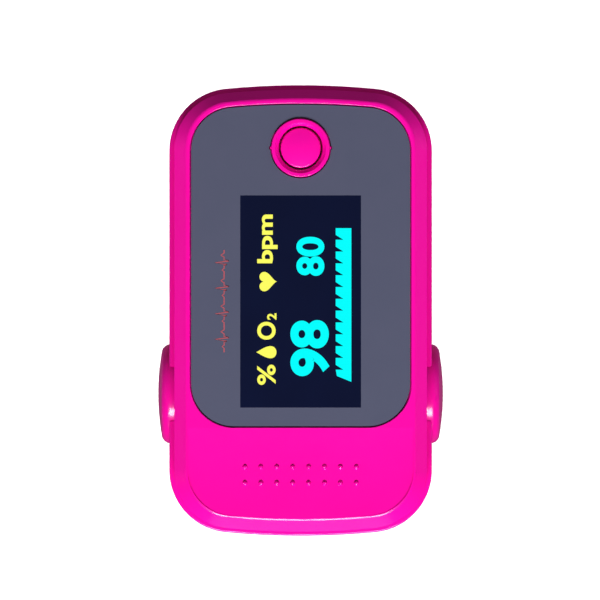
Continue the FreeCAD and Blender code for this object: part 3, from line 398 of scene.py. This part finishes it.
def finger_pad(node, lens, up):
    """Half a silicone sleeve with a flared mouth, a domed blind end and a hole over its lens."""
    low, high = box_of(node)
    lens_low, lens_high = box_of(lens)
    split = low.z if up > 0 else high.z
    outer_a = high.x
    outer_b = (high.z - split) if up > 0 else (split - low.z)
    wall_a, wall_b = PAD_WALL_SIDE, PAD_WALL_ROOF
    hole_x = lens_high.x + LENS_CLEARANCE
    edge = math.acos(hole_x / (outer_a - wall_a))
    side_steps, roof_steps = PAD_ARC // 3, PAD_ARC // 3
    turns = [edge * k / side_steps for k in range(side_steps)]
    turns += [edge + (math.pi - 2 * edge) * k / roof_steps for k in range(roof_steps)]
    turns += [math.pi - edge + edge * k / side_steps for k in range(side_steps + 1)]
    tube_rear = low.y + PAD_DOME
    hole = (lens_low.y - LENS_CLEARANCE, lens_high.y + LENS_CLEARANCE)
    neck_y = high.y - PAD_NECK
    lip_y = high.y - LIP_LENGTH
    stations = []

    def station(y_in, y_out, shrink_in, shrink_out):
        """Half axes of the inner and outer ellipse at one place along the pad."""
        flare = LIP_FLARE * max(0.0, (y_in - lip_y) / LIP_LENGTH) ** 2
        slim = NECK_SLIM if y_out > neck_y else 0.0
        a_in = (outer_a - wall_a) * shrink_in + flare
        b_in = (outer_b - wall_b) * shrink_in + ROOF_FLARE * flare
        a_out, b_out = (outer_a - slim) * shrink_out, (outer_b - slim) * shrink_out
        stations.append((y_in, y_out, a_in, b_in, a_out, b_out))

    ribs = [high.y - LIP_LENGTH * k / 8 for k in range(8)]
    ribs += [lip_y - (PAD_NECK - LIP_LENGTH) * k / 4 for k in range(4)]
    ribs += [neck_y - STEP_GAP, neck_y - ROW_GAP, hole[1] + ROW_GAP, hole[1]]
    ribs += [hole[1] - (hole[1] - hole[0]) * k / 4 for k in range(1, 4)] + [hole[0]]
    for y in ribs:
        station(y, y, 1.0, 1.0)
    for k in range(DOME_ROWS):
        turn = math.pi / 2 * k / (DOME_ROWS - 0.5)
        station(tube_rear - (PAD_DOME - wall_a) * math.sin(turn), tube_rear - PAD_DOME * math.sin(turn),
                max(math.cos(turn), 0.02), max(math.cos(turn), 0.02))

    verts, faces = [], []
    columns = len(turns)

    def ring(y, half_width, half_height):
        """One arc of points; near the mouth it follows the curved end of the shells."""
        bend = max(0.0, (y - neck_y) / PAD_NECK) / (2 * END_BULGE)
        for turn in turns:
            x = half_width * math.cos(turn)
            verts.append(Vector((x, y - bend * x * x, split + up * half_height * math.sin(turn))))

    for y_in, y_out, a_in, b_in, a_out, b_out in stations:
        ring(y_in, a_in, b_in)
        ring(y_out, a_out, b_out)

    def index(row, column, outside):
        return row * 2 * columns + (columns if outside else 0) + column

    def is_hole(row, column):
        middle = (stations[row][0] + stations[row + 1][0]) / 2
        return hole[0] < middle < hole[1] and side_steps <= column < side_steps + roof_steps

    def quad(a, b, c, d):
        faces.append((a, b, c, d))

    rows = len(stations)
    for row in range(rows - 1):
        for column in range(columns - 1):
            corners = [(row, column), (row, column + 1), (row + 1, column + 1), (row + 1, column)]
            if not is_hole(row, column):
                quad(*[index(r, c, False) for r, c in corners])
                quad(*[index(r, c, True) for r, c in corners])
                continue
            for k, (dr, dc) in enumerate(((-1, 0), (0, 1), (1, 0), (0, -1))):
                if not is_hole(row + dr, column + dc):
                    (r0, c0), (r1, c1) = corners[k], corners[(k + 1) % 4]
                    quad(index(r0, c0, False), index(r1, c1, False),
                         index(r1, c1, True), index(r0, c0, True))
        for column in (0, columns - 1):
            quad(index(row, column, False), index(row + 1, column, False),
                 index(row + 1, column, True), index(row, column, True))
    for column in range(columns - 1):
        quad(index(0, column, False), index(0, column + 1, False),
             index(0, column + 1, True), index(0, column, True))
    last = rows - 1
    faces.append(tuple(index(last, c, False) for c in range(columns)))
    faces.append(tuple(index(last, c, True) for c in range(columns)))
    quad(index(last, 0, False), index(last, 0, True),
         index(last, columns - 1, True), index(last, columns - 1, False))
    pad = add_mesh("soft_" + node, verts, faces, MATERIALS["pad_silicone"].material)
    bevel = pad.modifiers.new("rounded edges", "BEVEL")
    bevel.width = PAD_EDGE
    bevel.segments = 3
    bevel.limit_method = "ANGLE"
    bevel.angle_limit = math.radians(40)
    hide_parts(node)


# ---------------------------------------------------------------- springs and cable
COIL_SIDES, COIL_STEPS, LEG_STEPS = 12, 40, 12
COIL_WIRE = 0.3 * MM
COIL_TURNS = 4.5
SPLAY = math.radians(10.5)    # of each leg from the level, with the jaws shut


def torsion_spring(side):
    """A coil round the pin with a straight leg to each jaw."""
    name = "torsion_spring_" + ("right" if side > 0 else "left")
    low, high = box_of(name)
    start_x, end_x = low.x + COIL_WIRE, high.x - COIL_WIRE
    radius = high.y - HINGE.y - COIL_WIRE
    leg = HINGE.y - low.y
    turns = COIL_TURNS - SPLAY / math.pi
    sweep_angle = 2 * math.pi * turns
    steps = int(turns * COIL_STEPS)
    first = SPLAY - math.pi / 2
    lower_direction = Vector((0, -math.cos(SPLAY), -math.sin(SPLAY)))
    upper_direction = Vector((0, -math.cos(SPLAY), math.sin(SPLAY)))

    def place(angle, x):
        """A point of the coil, which starts under the pin."""
        return Vector((x, HINGE.y + radius * math.cos(angle), HINGE.z + radius * math.sin(angle)))

    start = place(first, start_x)
    end = place(first + sweep_angle, end_x)
    points = [start + lower_direction * leg * (1 - k / LEG_STEPS) for k in range(LEG_STEPS)]
    points += [place(first + sweep_angle * k / steps, start_x + (end_x - start_x) * k / steps)
               for k in range(steps + 1)]
    points += [end + upper_direction * leg * (k + 1) / LEG_STEPS for k in range(LEG_STEPS)]
    section = circle(COIL_WIRE, COIL_SIDES)
    spring = sweep("wire_" + name, points, section, MATERIALS["spring_steel"].material)
    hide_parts(name)
    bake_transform(spring)


CABLE_T = 0.45 * MM
CABLE_CORES = 4
CABLE_BEND, CABLE_RISE = 1.6 * MM, 0.7 * MM
BEAD_STEPS, BEAD_FLAT = 6, 0.6


def ribbon_section(half, cores):
    """A flat lead's outline: one round bead for each core, joined side by side."""
    radius = half / cores
    beads = []
    for side, order in ((1, range(cores)), (-1, reversed(range(cores)))):
        for k in order:
            middle = -half + radius * (2 * k + 1)
            for step in range(BEAD_STEPS):
                turn = math.pi * (step + 0.5) / BEAD_STEPS
                beads.append((middle - side * radius * math.cos(turn),
                              side * CABLE_T / 2 * math.sin(turn) ** BEAD_FLAT))
    return beads


def sensor_cable():
    """The flat lead down from the main board, forward under the frame and up to the emitter board."""
    low, high = box_of("sensor_cable")
    board = box_of("emitter_board")[0].z
    back, floor, front = low.y + CABLE_T / 2, low.z + CABLE_T / 2, high.y - CABLE_T / 2
    bend, rise = CABLE_BEND, CABLE_RISE
    points = [Vector((0, back, high.z - (high.z - floor - bend) * k / 24)) for k in range(24)]
    for k in range(9):
        turn = math.pi / 2 * k / 8
        points.append(Vector((0, back + bend * (1 - math.cos(turn)), floor + bend * (1 - math.sin(turn)))))
    for k in range(1, 9):
        points.append(Vector((0, back + bend + (front - rise - back - bend) * k / 9, floor)))
    for k in range(9):
        turn = math.pi / 2 * k / 8
        points.append(Vector((0, front - rise + rise * math.sin(turn),
                              floor + rise * (1 - math.cos(turn)))))
    points.append(Vector((0, front, board)))
    section = ribbon_section(high.x, CABLE_CORES)
    cable = sweep("ribbon_sensor_cable", points, section, MATERIALS["cable_grey"].material)
    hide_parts("sensor_cable")
    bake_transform(cable)


# ---------------------------------------------------------------- display graphics
PANEL_TOP = box_of("display_panel")[1].z
INK = 0.02 * MM
WINDOW_MID = (window_box()[0] + window_box()[1]) / 2
READS = "upper_jaw"


def on_panel(piece):
    """The piece moves with the upper jaw."""
    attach(piece, READS)
    return piece


def flat_shape(name, outline, material):
    """A thin raised shape on the panel from an outline of (x, y) points about the window's middle."""
    count = len(outline)
    verts = [Vector((WINDOW_MID.x + x * MM, WINDOW_MID.y + y * MM, PANEL_TOP + z)) for z in (0.0, INK)
             for x, y in outline]
    faces = [tuple(range(count)), tuple(range(count, 2 * count))]
    faces += [(k, (k + 1) % count, (k + 1) % count + count, k + count) for k in range(count)]
    return on_panel(add_mesh(name, verts, faces, material.material, smooth=False))


def lettering(name, text, left, right, low, high, weight, material):
    """Figures that read towards +Y, fitted between left and right (X) and low and high (Y), in mm."""
    curve = bpy.data.curves.new(name, "FONT")
    curve.body = text
    curve.offset = weight
    curve.extrude = 0.5
    curve.resolution_u = 8
    holder = bpy.data.objects.new(name, curve)
    bpy.context.scene.collection.objects.link(holder)
    bpy.context.view_layer.update()
    mesh = bpy.data.meshes.new_from_object(holder.evaluated_get(bpy.context.evaluated_depsgraph_get()))
    bpy.data.objects.remove(holder)
    bpy.data.curves.remove(curve)
    xs = [v.co.x for v in mesh.vertices]
    ys = [v.co.y for v in mesh.vertices]
    for v in mesh.vertices:
        along = (v.co.x - min(xs)) / (max(xs) - min(xs))
        up = (v.co.y - min(ys)) / (max(ys) - min(ys))
        v.co = Vector((WINDOW_MID.x + (right - (right - left) * up) * MM,
                       WINDOW_MID.y + (low + (high - low) * along) * MM,
                       PANEL_TOP + INK * (v.co.z + 0.5)))
    mesh.materials.clear()
    mesh.materials.append(material.material)
    piece = bpy.data.objects.new(name, mesh)
    bpy.context.scene.collection.objects.link(piece)
    return on_panel(piece)


BAR_LEFT, BAR_RIGHT, BAR_TOP, BAR_LOW = 4.50, 6.50, 9.40, -9.55
BAR_SLANT, BAR_STEP = 0.75, 0.15
BAR_NOTCHES, BAR_PITCH, NOTCH_FIRST, NOTCH_DEPTH, NOTCH_RISE = 12, 1.515, 7.92, 0.97, 0.62


def pulse_bar():
    """The level bar with a comb of notches along its left side."""
    outline = [(BAR_RIGHT, BAR_LOW - BAR_SLANT), (BAR_RIGHT, BAR_TOP), (BAR_LEFT, BAR_TOP)]
    for k in range(BAR_NOTCHES):
        tip = NOTCH_FIRST - BAR_PITCH * k
        outline += [(BAR_LEFT, tip + NOTCH_RISE), (BAR_LEFT + NOTCH_DEPTH, tip), (BAR_LEFT, tip)]
    outline.append((BAR_LEFT + BAR_STEP, BAR_LOW))
    return flat_shape("glow_level_bar", outline, GLOW_CYAN)


HEART_POINTS, DROP_POINTS = 48, 40
HEART_WIDTH = 32.0            # of the heart curve below
DROP_TAPER, DROP_WIDTH = 1.4, 0.42


def heart(name, x, y, size, material):
    """A heart that points the way the figures stand."""
    outline = []
    for k in range(HEART_POINTS):
        t = 2 * math.pi * k / HEART_POINTS
        across = 16 * math.sin(t) ** 3
        up = 13 * math.cos(t) - 5 * math.cos(2 * t) - 2 * math.cos(3 * t) - math.cos(4 * t)
        outline.append((x - up * size / HEART_WIDTH, y + across * size / HEART_WIDTH))
    return flat_shape(name, outline, material)


def drop(name, x, y, size, material):
    """A drop whose point is at the top of the figures."""
    outline = []
    for k in range(DROP_POINTS):
        t = 2 * math.pi * k / DROP_POINTS
        across = math.sin(t) * math.sin(t / 2) ** DROP_TAPER
        outline.append((x - math.cos(t) * size / 2, y + across * size * DROP_WIDTH))
    return flat_shape(name, outline, material)


TRACE_LEFT, TRACE_RIGHT, TRACE_LOW, TRACE_HIGH = -10.95, -9.2, -6.5, 6.6
TRACE_BEATS, TRACE_WIDTH = 4, 0.16
BEAT = [(0.0, 0.35), (0.16, 0.35), (0.22, 0.5), (0.28, 0.35), (0.38, 0.35), (0.43, 0.15), (0.5, 1.0),
        (0.57, 0.0), (0.62, 0.35), (0.72, 0.35), (0.8, 0.58), (0.88, 0.35)]


def pulse_trace():
    """A thin printed pulse line along the panel's left margin."""
    line = []
    for k in range(TRACE_BEATS):
        for along, height in BEAT:
            x = TRACE_RIGHT - (TRACE_RIGHT - TRACE_LEFT) * height
            line.append((x, TRACE_LOW + (TRACE_HIGH - TRACE_LOW) * (k + along) / TRACE_BEATS))
    line.append((line[0][0], TRACE_HIGH))
    edges = []
    for side in (1, -1):
        run = []
        for i, (x, y) in enumerate(line):
            x0, y0 = line[max(i - 1, 0)]
            x1, y1 = line[min(i + 1, len(line) - 1)]
            length = math.hypot(x1 - x0, y1 - y0)
            offset = side * TRACE_WIDTH / 2
            run.append((x + offset * (y1 - y0) / length, y - offset * (x1 - x0) / length))
        edges.append(run)
    verts, faces = [], []
    for height in (0.0, INK):
        for run in edges:
            verts += [Vector((WINDOW_MID.x + x * MM, WINDOW_MID.y + y * MM, PANEL_TOP + height))
                      for x, y in run]
    n = len(line)
    for i in range(n - 1):
        for a, b in ((0, 1), (2, 3), (0, 2), (1, 3)):
            faces.append((a * n + i, a * n + i + 1, b * n + i + 1, b * n + i))
    faces += [(0, n, 3 * n, 2 * n), (n - 1, 2 * n - 1, 4 * n - 1, 3 * n - 1)]
    trace = add_mesh("print_pulse_trace", verts, faces, PRINT_RED.material, smooth=False)
    return on_panel(trace)


def display_graphics():
    """The readings, their captions, the level bar and the printed trace, in mm from the window's middle."""
    lettering("glow_rate", "80", -0.55, 3.05, 3.28, 8.30, 0.035, GLOW_CYAN)
    lettering("glow_oxygen", "98", -1.32, 3.70, -9.58, -2.38, 0.035, GLOW_CYAN)
    lettering("glow_unit_rate", "bpm", -5.57, -2.95, 4.9, 11.15, 0.03, GLOW_YELLOW)
    heart("glow_heart", -4.35, 2.55, 2.5, GLOW_YELLOW)
    lettering("glow_unit_percent", "%", -5.57, -3.2, -10.7, -8.1, 0.02, GLOW_YELLOW)
    lettering("glow_unit_oxygen", "O", -5.57, -3.2, -4.9, -2.6, 0.03, GLOW_YELLOW)
    lettering("glow_unit_two", "2", -4.3, -3.1, -2.35, -1.5, 0.03, GLOW_YELLOW)
    drop("glow_drop", -4.4, -6.5, 2.6, GLOW_YELLOW)
    pulse_bar()
    pulse_trace()


# ---------------------------------------------------------------- camera, floor and light
VIEW_WIDTH = 77.2 * MM
VIEW_CENTRE = Vector((-0.08 * MM, 1.35 * MM))
LENS, SENSOR = 800.0, 36.0
LIP_Z = 26.8 * MM             # the level that fills the view's width
FLOOR_HALF, FLOOR_GAP = 2.0, 0.03 * MM
AIM = Vector((0, 0, 0.02))


def camera():
    """A long lens straight above the device."""
    data = bpy.data.cameras.new("camera")
    data.lens = LENS
    data.sensor_width = SENSOR
    data.clip_start = 0.01
    holder = bpy.data.objects.new("camera", data)
    holder.location = (VIEW_CENTRE.x, VIEW_CENTRE.y, LIP_Z + VIEW_WIDTH * LENS / SENSOR)
    bpy.context.scene.collection.objects.link(holder)
    bpy.context.scene.camera = holder


def floor():
    """A pale floor that is seen and takes shadows, but doesn't colour the device."""
    corners = [(-FLOOR_HALF, -FLOOR_HALF), (FLOOR_HALF, -FLOOR_HALF), (FLOOR_HALF, FLOOR_HALF),
               (-FLOOR_HALF, FLOOR_HALF)]
    verts = [Vector((x, y, -FLOOR_GAP)) for x, y in corners]
    light, dark = (0.86, 0.86, 0.86, 1.0), (0.84, 0.84, 0.845, 1.0)
    paint = moulded("floor_pale", light, dark, (0.85, 0.95), 900.0, 2e-6)
    plane = add_mesh("floor", verts, [(0, 1, 2, 3)], paint.material, smooth=False)
    plane.visible_glossy = False
    plane.visible_diffuse = False
    plane.visible_shadow = False
    return plane


def softbox(name, azimuth, elevation, distance, size, power):
    """An area light that aims at the device; azimuth is measured from +X towards +Y."""
    data = bpy.data.lights.new(name, "AREA")
    data.shape = "RECTANGLE"
    data.size, data.size_y = size
    data.energy = power
    holder = bpy.data.objects.new(name, data)
    turn, lift = math.radians(azimuth), math.radians(elevation)
    away = Vector((math.cos(turn) * math.cos(lift), math.sin(turn) * math.cos(lift), math.sin(lift)))
    holder.location = AIM + away * distance
    holder.rotation_euler = away.to_track_quat("Z", "Y").to_euler()
    holder.visible_camera = False
    bpy.context.scene.collection.objects.link(holder)
    return holder


def light_only(lights, name, target, state):
    """The lights reach only the target, or everything but the target."""
    group = bpy.data.collections.new(name)
    group.objects.link(target)
    group.collection_objects[0].light_linking.link_state = state
    for light in lights:
        light.light_linking.receiver_collection = group


def studio(plane):
    """A key and pale cards from the grips' end, weak sides, and bounces that the floor lets through."""
    key = softbox("key", -90, 46, 0.8, (0.5, 0.25), 8.4)
    right = softbox("right", 10, 20, 0.8, (0.4, 0.4), 0.8)
    left = softbox("left", 180, 20, 0.8, (0.4, 0.4), 0.6)
    card = softbox("card", -90, 9, 0.8, (0.7, 0.14), 0.25)
    haze = softbox("haze", -90, 42, 1.0, (1.2, 0.8), 0.9)
    bounces = [softbox("bounce_%d" % azimuth, azimuth, -55, 0.8, (0.5, 0.5), power)
               for azimuth, power in ((0, 3.0), (90, 2.0), (180, 3.0), (270, 1.6))]
    for soft in [left, right] + bounces:
        soft.visible_glossy = False
    light_only([key, right, left, card, haze] + bounces, "all_but_floor", plane, "EXCLUDE")
    wash = softbox("floor_wash", -90, 89, 2.0, (0.5, 0.5), 130.0)
    light_only([wash], "floor_only", plane, "INCLUDE")
    world = bpy.data.worlds.new("studio")
    world.use_nodes = True
    world.node_tree.nodes["Background"].inputs["Color"].default_value = (0.085, 0.085, 0.093, 1.0)
    world.node_tree.nodes["Background"].inputs["Strength"].default_value = 1.0
    bpy.context.scene.world = world
    bpy.context.scene.view_settings.view_transform = "Standard"


# ---------------------------------------------------------------- build
camera()
studio(floor())
paint_cad()
finger_pad("upper_finger_pad", "upper_lens", 1)
finger_pad("lower_finger_pad", "lower_lens", -1)
for pad_node, body in (("upper_finger_pad", "upper_jaw"), ("lower_finger_pad", "lower_jaw")):
    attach(bpy.data.objects["soft_" + pad_node], body)
torsion_spring(-1)
torsion_spring(1)
sensor_cable()
display_graphics()
